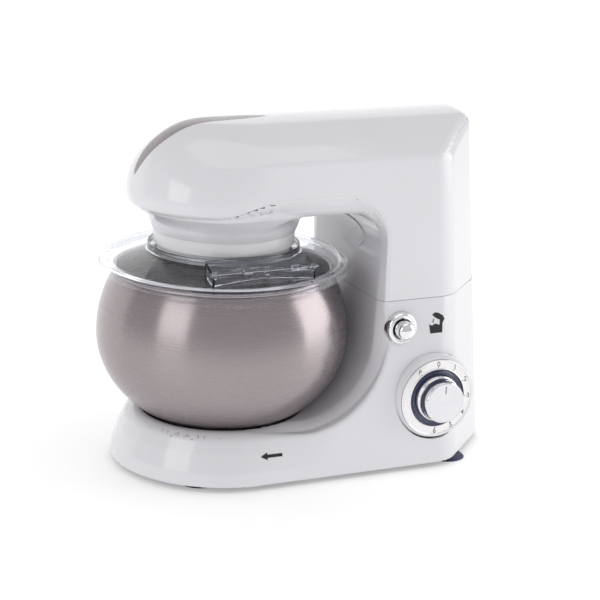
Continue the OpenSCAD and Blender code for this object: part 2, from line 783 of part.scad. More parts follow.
module dish() {
    rotate_extrude()
        polygon([[ring_r + 0.5, 201], [67.5, 201], [70, 198.5], [105, 188.5], [109, 191.5],
                 [guard_r - 2, 190], [guard_r - 2, 183], [guard_r, 183], [guard_r, 190.8],
                 [guard_r - 1.5, 192.5], [109, 193.8], [104, 190.9], [71, 200.4], [69.5, 203],
                 [69.5, 207], [67.5, 207], [67.5, 203], [ring_r + 0.5, 203]]);
}

module splash_guard() color([0.85, 0.90, 0.97, 0.35]) place() {
    difference() {
        union() {
            dish();
            difference() {
                along(chute[0], chute[1])
                    polygon([[chute[2], 187], [chute[3], 187], [chute[3], 240], [chute[2], 240]]);
                rotate_extrude()
                    polygon([[0, 150], [109, 150], [109, 190], [105, 189.2], [70, 199.2], [0, 199.2]]);
                on_rod() box(-60, 60, -20, 40, -3.2, 60);
            }
        }
        box(chute[0] + 2, chute[1] - 2, chute[2] + 2, chute[3] - 2, 150, 250);
        // entries for the neck ring's lugs
        for (turn = [0 : 120 : 240])
            rotate([0, 0, turn + 50]) rotate_extrude(angle = 30)
                translate([ring_r, 195]) square([4, 20]);
    }
    // posts that carry the flap's rod
    for (x = [chute[0], 4, chute[1] - 4])
        on_rod() difference() {
            box(x, x + 4, -1.8, 2, -5, 2.2);
            translate([x - 1, 0, 0]) rotate([0, 90, 0]) cylinder(r = 1.2, h = 6);
        }
}

module flap_rod() color([0.86, 0.90, 0.96]) place()
    on_rod() translate([chute[0] - 3, 0, 0]) rotate([0, 90, 0])
        cylinder(r = 1.2, h = chute[1] - chute[0] + 6);

module filler_flap() color([0.85, 0.90, 0.97, 0.35]) place() on_rod() difference() {
    union() {
        box(chute[0] + 0.5, chute[1] - 0.5, 3.6, 20, -2.8, -1);
        for (x = [-17, 29]) {
            translate([x, 0, 0]) rotate([0, 90, 0]) cylinder(r = 2.6, h = 8);
            box(x, x + 8, 0, 5, -2.6, -1);
        }
    }
    translate([-60, 0, 0]) rotate([0, 90, 0]) cylinder(r = 1.2 + play, h = 120);
}

// ---------- the object ----------

base_housing();
base_plate();
suction_feet();
bowl_seat();
seat_screws();
plate_screws();
hinge_bracket();
hinge_pin();
hinge_screws();
button_bezel();
dial_bezel();
dial_ring();
speed_switch();
control_board();
tilt_switch();
cord_gland();
release_button();
latch_bar();
button_spring();
speed_knob();
bowl();
bowl_foot();
head_cover();
head_underside();
head_inlay();
badge_plate();
neck_ring();
head_chassis();
chassis_screws();
latch_striker();
gearbox_housing();
ring_gear();
shaft_bearings();
stator_core();
field_coils();
motor_top_bracket();
motor_bottom_bracket();
carbon_brushes();
drive_belt();
wheel_axle();
splash_guard();
flap_rod();
filler_flap();
armature_core();
motor_shaft();
commutator();
cooling_fan();
motor_pulley();
belt_wheel();
pinion_gear();
drive_gear();
carrier_shaft();
planet_carrier();
planet_gear();
beater_shaft();
drive_pin();
shaft_collar();
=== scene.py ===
import math

import bmesh
import bpy
import numpy as np
from mathutils import Matrix, Vector

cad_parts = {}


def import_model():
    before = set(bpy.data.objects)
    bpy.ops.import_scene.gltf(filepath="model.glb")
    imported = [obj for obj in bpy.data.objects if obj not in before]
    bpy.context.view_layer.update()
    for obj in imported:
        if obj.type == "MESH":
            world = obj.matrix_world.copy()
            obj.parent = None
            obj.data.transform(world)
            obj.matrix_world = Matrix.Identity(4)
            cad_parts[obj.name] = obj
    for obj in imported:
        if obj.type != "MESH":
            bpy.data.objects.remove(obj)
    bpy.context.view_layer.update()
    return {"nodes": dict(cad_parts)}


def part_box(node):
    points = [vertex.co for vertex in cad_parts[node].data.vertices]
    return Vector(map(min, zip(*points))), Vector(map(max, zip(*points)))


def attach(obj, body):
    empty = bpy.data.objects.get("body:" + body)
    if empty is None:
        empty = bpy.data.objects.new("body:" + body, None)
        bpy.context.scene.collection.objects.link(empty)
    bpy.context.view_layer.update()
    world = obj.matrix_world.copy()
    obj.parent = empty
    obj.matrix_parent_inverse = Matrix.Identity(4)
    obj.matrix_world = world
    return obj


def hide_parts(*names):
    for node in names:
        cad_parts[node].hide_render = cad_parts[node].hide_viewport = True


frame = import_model()
nodes = frame["nodes"]

# Shapes are worked out in millimetres from the bowl's axis on the table, then moved into the CAD's frame.
MM = 0.001
BOWL_X = sum(corner.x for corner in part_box("bowl")) / 2 / MM


def place(points):
    return (np.asarray(points, float) + [BOWL_X, 0, 0]) * MM


# ---------------------------------------------------------------- materials


class Nodes:
    """A short way to wire shader nodes."""

    def __init__(self, name):
        self.mat = bpy.data.materials.new(name)
        self.mat.use_nodes = True
        self.tree = self.mat.node_tree
        self.tree.nodes.clear()
        self.out = self.add("ShaderNodeOutputMaterial")
        self.bsdf = self.add("ShaderNodeBsdfPrincipled")
        self.link(self.bsdf.outputs[0], self.out.inputs[0])

    def add(self, kind, **values):
        node = self.tree.nodes.new(kind)
        for key, value in values.items():
            setattr(node, key, value)
        return node

    def link(self, a, b):
        self.tree.links.new(a, b)

    def put(self, **values):
        for key, value in values.items():
            self.bsdf.inputs[key.replace("_", " ")].default_value = value

    def coords(self, scale=(1, 1, 1)):
        tex = self.add("ShaderNodeTexCoord")
        mapping = self.add("ShaderNodeMapping")
        mapping.inputs["Scale"].default_value = scale
        self.link(tex.outputs["Object"], mapping.inputs["Vector"])
        return mapping.outputs[0]

    def noise(self, vector, scale, detail=4.0, rough=0.5):
        n = self.add("ShaderNodeTexNoise")
        n.inputs["Scale"].default_value = scale
        n.inputs["Detail"].default_value = detail
        n.inputs["Roughness"].default_value = rough
        self.link(vector, n.inputs["Vector"])
        return n.outputs["Fac"]

    def ramp(self, fac, stops):
        r = self.add("ShaderNodeValToRGB")
        while len(r.color_ramp.elements) < len(stops):
            r.color_ramp.elements.new(0.5)
        for e, (pos, col) in zip(r.color_ramp.elements, stops):
            e.position = pos
            e.color = (*col, 1)
        self.link(fac, r.inputs[0])
        return r.outputs[0]

    def range(self, fac, low, high, a=0.3, b=0.7):
        m = self.add("ShaderNodeMapRange")
        for key, value in zip(("From Min", "From Max", "To Min", "To Max"), (a, b, low, high)):
            m.inputs[key].default_value = value
        self.link(fac, m.inputs[0])
        return m.outputs[0]

    def bump(self, height, strength, distance):
        b = self.add("ShaderNodeBump")
        b.inputs["Strength"].default_value = strength
        b.inputs["Distance"].default_value = distance
        self.link(height, b.inputs["Height"])
        self.link(b.outputs[0], self.bsdf.inputs["Normal"])


def mix_color(base, factor):
    return tuple(c * factor for c in base)


def plastic(name, color, rough=0.16, grain=900, bump=0.03, vary=0.03, coat=0.0):
    n = Nodes(name)
    v = n.coords()
    tone = n.noise(v, 9, 3)
    n.link(n.ramp(tone, [(0.3, mix_color(color, 1 - vary)), (0.7, color)]), n.bsdf.inputs["Base Color"])
    fine = n.noise(v, grain, 2)
    n.link(n.range(n.noise(v, 35, 5), rough * 0.85, rough * 1.2), n.bsdf.inputs["Roughness"])
    n.bump(fine, bump, 0.0002)
    n.put(Coat_Weight=coat, Coat_Roughness=0.05, IOR=1.5)
    return n.mat


def metal(name, color, rough, grain=(1, 1, 1), scale=400, bump=0.05, vary=0.1,
          aniso=0.0, axis=None, turn=0.0):
    """Machined or brushed metal. Stretched grain and a radial tangent about axis give the brushing."""
    n = Nodes(name)
    v = n.coords(grain)
    streak = n.noise(v, scale, 6, 0.6)
    n.link(n.ramp(streak, [(0.25, mix_color(color, 1 - vary)), (0.75, color)]), n.bsdf.inputs["Base Color"])
    n.link(n.range(streak, rough * 0.8, rough * 1.25), n.bsdf.inputs["Roughness"])
    n.bump(streak, bump, 0.0003)
    n.put(Metallic=1.0, Anisotropic=aniso, Anisotropic_Rotation=turn)
    if axis:
        t = n.add("ShaderNodeTangent", direction_type="RADIAL", axis=axis)
        n.link(t.outputs[0], n.bsdf.inputs["Tangent"])
    return n.mat


def clear_plastic(name, tint, rough, ior):
    n = Nodes(name)
    v = n.coords()
    tone = n.noise(v, 60, 3)
    n.link(n.ramp(tone, [(0.2, mix_color(tint, 0.97)), (0.8, tint)]), n.bsdf.inputs["Base Color"])
    n.link(n.range(n.noise(v, 120, 4), rough * 0.6, rough * 1.4), n.bsdf.inputs["Roughness"])
    n.bump(n.noise(v, 40, 1), 0.01, 0.0002)
    n.put(Transmission_Weight=1.0, IOR=ior)
    return n.mat


def rubber(name, color, rough=0.6):
    n = Nodes(name)
    v = n.coords()
    speck = n.noise(v, 700, 6, 0.7)
    tone = n.ramp(speck, [(0.3, mix_color(color, 0.75)), (0.7, mix_color(color, 1.15))])
    n.link(tone, n.bsdf.inputs["Base Color"])
    n.link(n.range(n.noise(v, 60, 4), rough * 0.85, rough * 1.15), n.bsdf.inputs["Roughness"])
    n.bump(speck, 0.25, 0.0002)
    return n.mat


def layered(name, color, dark, pitch, rough):
    """Stacked sheet or wound wire: fine bands along Z."""
    n = Nodes(name)
    v = n.coords()
    wave = n.add("ShaderNodeTexWave", wave_type="BANDS", bands_direction="Z")
    wave.inputs["Scale"].default_value = pitch
    wave.inputs["Distortion"].default_value = 0.4
    n.link(v, wave.inputs["Vector"])
    n.link(n.ramp(wave.outputs["Fac"], [(0.2, dark), (0.6, color)]), n.bsdf.inputs["Base Color"])
    n.link(n.range(n.noise(v, 90, 4), rough * 0.8, rough * 1.2), n.bsdf.inputs["Roughness"])
    n.bump(wave.outputs["Fac"], 0.4, 0.0003)
    n.put(Metallic=1.0)
    return n.mat


def circuit(name):
    n = Nodes(name)
    v = n.coords((1, 1, 0.2))
    brick = n.add("ShaderNodeTexBrick")
    brick.inputs["Scale"].default_value = 160
    brick.inputs["Color1"].default_value = (0.02, 0.12, 0.05, 1)
    brick.inputs["Color2"].default_value = (0.03, 0.16, 0.07, 1)
    brick.inputs["Mortar"].default_value = (0.25, 0.3, 0.12, 1)
    brick.inputs["Mortar Size"].default_value = 0.012
    n.link(v, brick.inputs["Vector"])
    n.link(brick.outputs["Color"], n.bsdf.inputs["Base Color"])
    n.link(n.range(n.noise(v, 200, 3), 0.3, 0.5), n.bsdf.inputs["Roughness"])
    n.bump(brick.outputs["Fac"], 0.2, 0.0002)
    return n.mat


WHITE = plastic("white_gloss_plastic", (0.77, 0.765, 0.80), 0.14, coat=0.5)
RING_WHITE = plastic("white_ring_plastic", (0.84, 0.84, 0.86), 0.22)
INLAY = plastic("inlay_satin", (0.30, 0.265, 0.275), 0.3, grain=1500, bump=0.08, vary=0.12, coat=0.3)
DARK = plastic("dark_moulded_plastic", (0.035, 0.036, 0.045), 0.45, grain=1200, bump=0.3, vary=0.2)
BLACK = plastic("black_moulded_plastic", (0.02, 0.02, 0.022), 0.4, grain=1200, bump=0.2, vary=0.2)
GEAR = plastic("gear_plastic", (0.62, 0.58, 0.46), 0.38, grain=900, bump=0.1, vary=0.08)
NAVY = plastic("navy_ring_plastic", (0.012, 0.018, 0.085), 0.12, vary=0.1, coat=1.0)
PRINT = plastic("print_ink", (0.012, 0.009, 0.01), 0.5, grain=2500, bump=0.1, vary=0.3)
DIAL_INK = plastic("dial_ink", (0.03, 0.028, 0.035), 0.5, grain=2500, bump=0.1, vary=0.3)
FEET = rubber("feet_rubber", (0.05, 0.055, 0.11))
BELT = rubber("belt_rubber", (0.02, 0.02, 0.02))
STEEL = metal("turned_steel", (0.52, 0.52, 0.53), 0.3, (1, 1, 12), 250, 0.1)
CHROME = metal("polished_chrome", (0.86, 0.86, 0.88), 0.05, scale=60, bump=0.01, vary=0.03)
SPUN = metal("spun_knob_face", (0.80, 0.80, 0.83), 0.2, (1, 40, 1), 300, 0.1, 0.08, 0.6, "Y")
DIAL_FACE = metal("dial_face", (0.88, 0.86, 0.87), 0.3, (1, 1, 1), 600, 0.03, 0.05)
# Bowl steel: the base colour is set darker than the steel's own, painted shade standing in for the dim
# surroundings the bowl reflects; the stretched streaks are its real brushing.
BOWL = metal("brushed_bowl_steel", (0.38, 0.335, 0.345), 0.26, (1, 1, 60), 45, 0.06, 0.12, 0.8, "Z", 0.25)
CAST = metal("cast_aluminium", (0.50, 0.50, 0.52), 0.5, (1, 1, 1), 500, 0.5, 0.15)
IRON = layered("laminated_iron", (0.35, 0.35, 0.37), (0.16, 0.16, 0.17), 700, 0.45)
COPPER = layered("wound_copper", (0.65, 0.30, 0.14), (0.25, 0.09, 0.04), 500, 0.3)
BRONZE = metal("sintered_bronze", (0.50, 0.33, 0.16), 0.4, (1, 1, 1), 900, 0.3, 0.2)
CLEAR = clear_plastic("clear_guard_plastic", (0.95, 0.965, 1.0), 0.02, 1.4)
BOARD = circuit("circuit_board")

CAD_LOOKS = {
    DARK: ["base_plate", "bowl_seat"],
    STEEL: ["seat_screws", "plate_screws", "hinge_bracket", "hinge_pin", "hinge_screws", "latch_bar",
            "button_spring", "chassis_screws", "latch_striker", "wheel_axle", "motor_shaft",
            "motor_pulley", "carrier_shaft", "beater_shaft", "drive_pin"],
    BLACK: ["speed_switch", "tilt_switch", "cord_gland", "carbon_brushes", "cooling_fan", "belt_wheel"],
    CAST: ["head_chassis", "gearbox_housing", "motor_top_bracket", "motor_bottom_bracket"],
    GEAR: ["ring_gear", "pinion_gear", "drive_gear", "planet_gear"],
    IRON: ["stator_core", "armature_core"],
    COPPER: ["field_coils", "commutator"],
    BRONZE: ["shaft_bearings"],
    BELT: ["drive_belt"],
    BOARD: ["control_board"],
    RING_WHITE: ["planet_carrier"],
    CHROME: ["shaft_collar"],
    BOWL: ["bowl_foot"],
}
for look, names in CAD_LOOKS.items():
    for name in names:
        data = nodes[name].data
        data.materials.clear()
        data.materials.append(look)


# ---------------------------------------------------------------- mesh tools


def add_object(name, mesh, material, body, replaced=(), origin=(0, 0, 0)):
    """Links a mesh whose points are in mm from the origin point, itself in mm from the bowl's axis."""
    mesh.transform(Matrix.Scale(MM, 4))
    obj = bpy.data.objects.new(name, mesh)
    obj.location = place(origin)
    bpy.context.scene.collection.objects.link(obj)
    mesh.materials.append(material)
    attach(obj, body)
    if replaced:
        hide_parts(*replaced)
    return obj


def from_arrays(name, verts, faces, smooth=True):
    mesh = bpy.data.meshes.new(name)
    mesh.from_pydata([tuple(v) for v in verts], [], [tuple(f) for f in faces])
    mesh.validate()
    mesh.update()
    if smooth:
        mesh.shade_smooth()
    return mesh


def rounded(profile, radius, steps=4, closed=False):
    """Rounds the corners of a profile. radius is one number or one for each point."""
    count = len(profile)
    radii = [radius] * count if np.isscalar(radius) else list(radius)
    out = []
    for k in range(count):
        b = np.array(profile[k], float)
        if not closed and k in (0, count - 1) or radii[k] <= 0:
            out.append(tuple(b))
            continue
        a = np.array(profile[k - 1], float)
        c = np.array(profile[(k + 1) % count], float)
        u, v = a - b, c - b
        lu, lv = np.linalg.norm(u), np.linalg.norm(v)
        if lu < 1e-6 or lv < 1e-6:
            out.append(tuple(b))
            continue
        cut = min(radii[k], lu * 0.49, lv * 0.49)
        p, q = b + u / lu * cut, b + v / lv * cut
        for s in range(steps + 1):
            t = s / steps
            out.append(tuple((1 - t) ** 2 * p + 2 * t * (1 - t) * b + t * t * q))
    return out


def revolve(name, profile, material, body, origin, axis="Z", replaced=(), segments=160, closed=True):
    """Turns a profile of (radius, height) about an axis. For axis Y, height goes towards -Y."""
    verts, faces = [], []
    count = len(profile)
    for s in range(segments):
        t = 2 * math.pi * s / segments
        for r, h in profile:
            p = (r * math.cos(t), r * math.sin(t), h)
            verts.append(p if axis == "Z" else (p[0], -p[2], p[1]))
    last = count if closed else count - 1
    for s in range(segments):
        a, b = s * count, (s + 1) % segments * count
        for k in range(last):
            m = (k + 1) % count
            faces.append((a + k, b + k, b + m, a + m))
    mesh = from_arrays(name, verts, faces)
    bm = bmesh.new()
    bm.from_mesh(mesh)
    bmesh.ops.remove_doubles(bm, verts=bm.verts, dist=1e-4)
    bmesh.ops.recalc_face_normals(bm, faces=bm.faces)
    bm.to_mesh(mesh)
    bm.free()
    mesh.shade_smooth()
    mesh.set_sharp_from_angle(angle=math.radians(38))
    return add_object(name, mesh, material, body, replaced, origin)


def smoothstep(low, high, x):
    t = np.clip((x - low) / (high - low), 0, 1)
    return t * t * (3 - 2 * t)


def meet(a, b, r):
    """Both regions, with their shared edge rounded to radius r."""
    return np.minimum(np.maximum(a, b), -r) + np.hypot(np.maximum(a + r, 0), np.maximum(b + r, 0))


def join(a, b, r):
    """Either region, with the corner between them filled to radius r."""
    return np.maximum(np.minimum(a, b), r) - np.hypot(np.maximum(r - a, 0), np.maximum(r - b, 0))


CORNERS = np.array([[i, j, k] for i in (0, 1) for j in (0, 1) for k in (0, 1)])
EDGES = [(a, b) for a in range(8) for b in range(a + 1, 8) if np.abs(CORNERS[a] - CORNERS[b]).sum() == 1]


def skin(name, field, low, high, step, material, body, replaced=()):
    """A closed mesh where field(x, y, z) is zero, by dual contouring.

    Each grid cell that the surface crosses gets one point, pulled to any sharp edge in the cell.
    """
    low, high = np.array(low, float), np.array(high, float)
    size = np.ceil((high - low) / step).astype(int) + 1
    axes = [low[d] + step * np.arange(size[d]) for d in range(3)]
    value = np.empty(size, np.float32)
    for i, x in enumerate(axes[0]):
        value[i] = field(np.full((size[1], size[2]), x), *np.meshgrid(axes[1], axes[2], indexing="ij"))
    inside = value < 0
    cells = np.zeros(size - 1, np.int8)
    for c in CORNERS:
        cells += inside[c[0]:size[0] - 1 + c[0], c[1]:size[1] - 1 + c[1], c[2]:size[2] - 1 + c[2]]
    active = np.argwhere((cells > 0) & (cells < 8))
    index = np.full(size - 1, -1, np.int64)
    index[tuple(active.T)] = np.arange(len(active))

    def slope(p, e=0.03):
        ends = [(field(*(p + way * e).T), field(*(p - way * e).T)) for way in np.eye(3)]
        return np.stack([(ahead - behind) / (2 * e) for ahead, behind in ends], 1)

    corner = np.stack([value[tuple((active + c).T)] for c in CORNERS], 1)
    owner, start, end = [], [], []
    for a, b in EDGES:
        hit = np.nonzero((corner[:, a] < 0) != (corner[:, b] < 0))[0]
        owner.append(hit)
        flip = (corner[hit, a] < 0)[:, None]
        pa, pb = low + step * (active[hit] + CORNERS[a]), low + step * (active[hit] + CORNERS[b])
        start.append(np.where(flip, pa, pb))
        end.append(np.where(flip, pb, pa))
    owner, start, end = (np.concatenate(v) for v in (owner, start, end))
    for _ in range(8):
        mid = (start + end) / 2
        within = (field(*mid.T) < 0)[:, None]
        start, end = np.where(within, mid, start), np.where(within, end, mid)
    on = (start + end) / 2
    normal = slope(on)
    normal /= np.maximum(np.linalg.norm(normal, axis=1, keepdims=True), 1e-9)

    # Least squares: the point nearest to every tangent plane of the cell, held a little to their middle
    count = np.bincount(owner, minlength=len(active))[:, None]

    def gather_sum(values):
        return np.stack([np.bincount(owner, v, len(active)) for v in values.T], 1)

    centre = gather_sum(on) / count
    reach = (normal * (on - centre[owner])).sum(1)
    square = gather_sum((normal[:, :, None] * normal[:, None, :]).reshape(-1, 9)).reshape(-1, 3, 3)
    right = gather_sum(normal * reach[:, None])
    shift = np.linalg.solve(square + 0.03 * np.eye(3), right[:, :, None])[:, :, 0]
    cell = low + step * active
    points = np.clip(centre + shift, cell - 0.05 * step, cell + 1.05 * step)
    even = np.linalg.norm(gather_sum(normal), axis=1) / count[:, 0] > 0.97
    for _ in range(2):
        g = slope(points[even])
        points[even] -= (field(*points[even].T) / np.maximum((g * g).sum(1), 0.05))[:, None] * g

    faces = []
    for d in range(3):
        e, f = (d + 1) % 3, (d + 2) % 3
        first = np.take(inside, range(size[d] - 1), d)
        second = np.take(inside, range(1, size[d]), d)
        spots = np.argwhere(first != second)
        in_e = (spots[:, e] > 0) & (spots[:, e] < size[e] - 1)
        in_f = (spots[:, f] > 0) & (spots[:, f] < size[f] - 1)
        spots = spots[in_e & in_f]
        quad = []
        for oe, of in ((1, 1), (0, 1), (0, 0), (1, 0)):
            s = spots.copy()
            s[:, e] -= oe
            s[:, f] -= of
            quad.append(index[tuple(s.T)])
        quad = np.stack(quad, 1)
        flip = ~first[tuple(spots.T)]
        quad[flip] = quad[flip][:, ::-1]
        faces.append(quad)
    mesh = from_arrays(name, points, np.concatenate(faces))
    mesh.set_sharp_from_angle(angle=math.radians(32))
    return add_object(name, mesh, material, body, replaced)


# ---------------------------------------------------------------- the moulded shells

# The wall has to be thicker than the diagonal of a grid cell, or the skin gets holes.
STEP = 1.6
WALL = 2.9

HALF_W = 80.0
CROWN_R, CROWN_C = 130.5, 190.5
NOSE_X, NOSE_Z, CHIN = -10.0, 256.0, 38.0
FLOOR_Z, PART_Z, NECK_Z = 5.0, 159.0, 221.0
COLUMN_H = PART_Z - FLOOR_Z
PART_GAP = 0.15
REAR_MID, REAR_FOOT, REAR_SLOPE = 251.0, 258.0, 0.0974
TILT_R, PIVOT_Z = 13.0, 172.0
PIVOT_X = REAR_MID - (PIVOT_Z - PART_Z) * REAR_SLOPE - TILT_R
CHAMFER_SUM, CHAMFER_UP, CHAMFER_DOWN = 276.0, 0.071, 0.12
COLUMN_EDGE = 9.0
ARCH_IN_Z, ARCH_OUT_Z, ARCH_OUT_X = 242.0, 258.0, 127.5
TABLE_IN_Z, TABLE_OUT_Z = 50.4, 46.8
NECK_R, NECK_FLARE = 66.0, 0.35
COLLAR_Z, RECESS_Z, RECESS_R = 51.0, 40.0, 74.5
BOWL_MOUTH_R, BOWL_MOUTH_SLOPE = 76.5, 1.125
DIAL = (175.6, 67.8)
BUTTON = (142.6, 134.0)


def plan_radius(x, y):
    return np.where(x < NOSE_X, np.hypot(x - NOSE_X, y), np.abs(y))


def crown_z(y):
    return CROWN_C + np.sqrt(np.maximum(CROWN_R**2 - np.minimum(np.abs(y), 110.0) ** 2, 1))


def rear_x(z):
    return np.where(z > PART_Z, REAR_MID - (z - PART_Z) * REAR_SLOPE,
                    REAR_MID + (REAR_FOOT - REAR_MID) * (PART_Z - z) / COLUMN_H)


def head_form(x, y, z):
    """The head's outer form: a rounded nose that turns into a straight section with a crisp edge."""
    rho = plan_radius(x, y) / HALF_W
    reach = np.where(z > NOSE_Z, crown_z(y) - NOSE_Z, CHIN)
    up = np.clip(np.abs(z - NOSE_Z) / reach, 0, 3)
    grow = 2.2 * rho**1.2 / HALF_W
    rise = 2 * up / reach
    nose = (rho**2.2 + up**2 - 1) / (np.hypot(grow, rise) + 0.004)
    straight = meet(HALF_W * (rho - 1), np.hypot(y, z - CROWN_C) - CROWN_R, 2.2)
    form = nose + (straight - nose) * smoothstep(-62, 18, x)
    form = meet(form, chamfer(x, y, z), COLUMN_EDGE)
    return meet(form, x - rear_x(z), COLUMN_EDGE)


def chamfer(x, y, z):
    """The slanted faces of the column's two rear corners."""
    drop = np.where(z > PART_Z, CHAMFER_UP, CHAMFER_DOWN)
    return (x + np.abs(y) - (CHAMFER_SUM + drop * (PART_Z - z))) / math.sqrt(2)


def front_line(z):
    """Where the column's front face is, which leans back a little."""
    return 121.3 + (z - 120) * 4.7 / 88


def arch_above(x, y, z):
    """Negative in the open space under the head: an inner outline, bevelled out to the sides."""
    rho = plan_radius(x, y)
    w = np.clip((rho - 69) / (HALF_W - 69), 0, 1.4) ** 1.3 * smoothstep(-50, 30, x)
    inner = meet(x - front_line(z), z - ARCH_IN_Z, 34.0)
    outer = meet(x - ARCH_OUT_X, z - ARCH_OUT_Z, 44.0)
    return inner + (outer - inner) * w


def arch_below(x, y, z):
    """Negative in the open space over the base."""
    w = np.clip((np.abs(y) - 70) / 10, 0, 1.4) ** 1.3 * smoothstep(-30, 60, x)
    inner = meet(x - front_line(z), TABLE_IN_Z - z, 70.0)
    outer = meet(x - ARCH_OUT_X, TABLE_OUT_Z - z, 85.0)
    return inner + (outer - inner) * w


def hinge_curve(x, z):
    return np.hypot(x - PIVOT_X, z - PIVOT_Z)


def head_solid(x, y, z):
    """The head with its neck, hollowed out to a wall."""
    arch = arch_above(x, y, z)
    form = head_form(x, y, z)
    soft = 1.5 + 7 * (1 - smoothstep(-60, 30, x))
    solid = meet(form, -arch, soft)
    solid = np.maximum(solid, -meet(form + WALL, WALL - arch, soft))
    radius = np.hypot(x, y)
    neck = radius - (NECK_R + (z - NECK_Z) * NECK_FLARE) + np.maximum(z - ARCH_IN_Z - 1, 0) * 2
    solid = join(solid, np.maximum(neck, arch - WALL), 13.0)
    solid = np.maximum(solid, -np.maximum(radius - NECK_R + WALL, arch - WALL))
    return np.maximum(solid, np.where(radius < 95, NECK_Z, 0.0) - z)


def seam(x, y, z):
    """Positive on the cover's side of the joint between cover and underside."""
    return arch_above(x, y, z) - WALL - 0.3


def cover_field(x, y, z):
    shell = np.maximum(head_solid(x, y, z), 0.05 - seam(x, y, z))
    behind = np.where(z < PIVOT_Z, hinge_curve(x, z) - TILT_R, -5.0)
    under = np.where(x < PIVOT_X, PART_Z + PART_GAP - z, behind)
    return meet(shell, under, 0.5)


def underside_field(x, y, z):
    shell = np.maximum(head_solid(x, y, z), seam(x, y, z) + 0.05)
    return meet(shell, PART_Z + PART_GAP - z, 0.3)


def lower_field(x, y, z):
    side = HALF_W + 22.5 * (PART_Z - z) / COLUMN_H
    cone = np.interp(z, [0, 5, 18, 34.5, 43, 56], [104.2, 103.5, 101.2, 95.2, 91, 84])
    half = cone + (side - cone) * smoothstep(-25, 95, x)
    plan = (np.where(x < 0, np.hypot(x, y), np.abs(y)) - half) * 0.9
    soft = 2.5 + 4.5 * (1 - smoothstep(-30, 60, x))
    arch = arch_below(x, y, z)
    form = meet(plan, -arch, soft)
    form = meet(form, chamfer(x, y, z), COLUMN_EDGE)
    form = meet(form, x - rear_x(z), COLUMN_EDGE)
    lip = np.maximum(z - 164, TILT_R + 0.8 - hinge_curve(x, z))
    top = np.where(x < PIVOT_X, z - PART_Z + PART_GAP, lip)
    form = meet(form, top, 0.5)
    radius = np.hypot(x, y)
    hollow = np.maximum(form + WALL, -np.maximum(radius - 80, 36 - z))
    form = np.maximum(form, -hollow)
    form = meet(form, FLOOR_Z - z, 3.0)
    form = meet(form, -np.maximum(radius - RECESS_R, RECESS_Z - z), 1.0)
    mouth = (radius - BOWL_MOUTH_R - (z - COLLAR_Z) * BOWL_MOUTH_SLOPE) * 0.66
    form = meet(form, -np.maximum(mouth, z - 60), 0.6)
    front = y + 60
    dial_hole = np.maximum(np.hypot(x - DIAL[0], z - DIAL[1]) - 40.3, front)
    button_hole = np.maximum(np.hypot(x - BUTTON[0], z - BUTTON[1]) - 15.3, front)
    gland_hole = np.maximum(np.maximum(np.abs(y), np.abs(z - 32)) - 5.9, 240 - x)
    form = np.maximum(form, -np.minimum(np.minimum(dial_hole, button_hole), gland_hole))
    slots = [(PIVOT_X - 16, PIVOT_X + 1, 19, 25), (PIVOT_X - 16, PIVOT_X + 1, -25, -19),
             (132, 148, -54, -36), (156, 163, 56, 63), (165, 195, 20, 50)]
    for x0, x1, y0, y1 in slots:
        slot = np.maximum(np.maximum(x0 - x, x - x1), np.maximum(y0 - y, y - y1))
        form = np.maximum(form, -np.maximum(slot, 150 - z))
    return form


skin("head_cover_shell", cover_field, (-94, -83, 156), (254, 83, 324), STEP, WHITE, "head", ["head_cover"])
skin("head_underside_shell", underside_field, (-94, -83, 156), (134, 83, 268), STEP, WHITE, "head",
     ["head_underside"])
skin("base_shell", lower_field, (-107, -107, 2), (261, 107, 167), STEP, WHITE, "base", ["base_housing"])


# ---------------------------------------------------------------- inlay, badge and prints


def patch(name, outline, surface, thick, material, body, replaced=(), rows=10):
    """A thin leaf on a surface. outline(s) gives its edge points for s from 0 to 1; surface lifts them."""
    steps = 90
    verts, faces = [], []
    for layer in (0, -thick):
        for s in range(steps + 1):
            a, b = outline(s / steps)
            for r in range(rows + 1):
                p = np.array(a) + (np.array(b) - np.array(a)) * r / rows
                verts.append(surface(p[0], p[1], layer))
    n = (steps + 1) * (rows + 1)
    for s in range(steps):
        for r in range(rows):
            k = s * (rows + 1) + r
            q = (k, k + 1, k + rows + 2, k + rows + 1)
            faces.append(q)
            faces.append(tuple(n + i for i in reversed(q)))
    rim = [s * (rows + 1) for s in range(steps + 1)]
    far = [s * (rows + 1) + rows for s in range(steps + 1)]
    loop = rim + far[::-1]
    for a, b in zip(loop, loop[1:] + loop[:1]):
        faces.append((a, b, n + b, n + a))
    mesh = from_arrays(name, verts, faces)
    bm = bmesh.new()
    bm.from_mesh(mesh)
    bmesh.ops.remove_doubles(bm, verts=bm.verts, dist=1e-4)
    bmesh.ops.recalc_face_normals(bm, faces=bm.faces)
    bm.to_mesh(mesh)
    bm.free()
    mesh.shade_smooth()
    mesh.set_sharp_from_angle(angle=math.radians(40))
    return add_object(name, mesh, material, body, replaced)


def find_surface(field, start, direction, reach):
    """Steps from start along direction to the first place where field changes sign."""
    start, direction = np.array(start, float), np.array(direction, float)
    t = np.linspace(0, reach, 400)
    for _ in range(2):
        value = field(*(start[:, None] + direction[:, None] * t))
        k = int(np.argmax((value < 0) != (value[0] < 0)))
        t = np.linspace(t[max(k - 1, 0)], t[k], 100)
    return start + direction * t[50]


def leaf_edges(s):
    """The inlay's outline, widest near the front. The first number of a point runs along the crown."""
    along = -1.05 + 1.9 * s
    widest = 0.4
    run = widest if s < widest else 1 - widest
    width = 10.5 * max(0.0, 1 - ((s - widest) / run) ** 2) ** 0.62 + 0.02
    return (along, -width), (along, width)


def crown_surface(along, y, layer):
    """Rays fan out round the nose while along is below zero, then go straight up."""
    turn = min(along, 0.0) * math.radians(72)
    start = (-23 + 72 * max(along, 0.0), y, 258.0)
    direction = np.array((math.sin(turn), 0, math.cos(turn)))
    p = find_surface(head_form, start, direction, 90)
    return p + direction * (0.15 + layer)


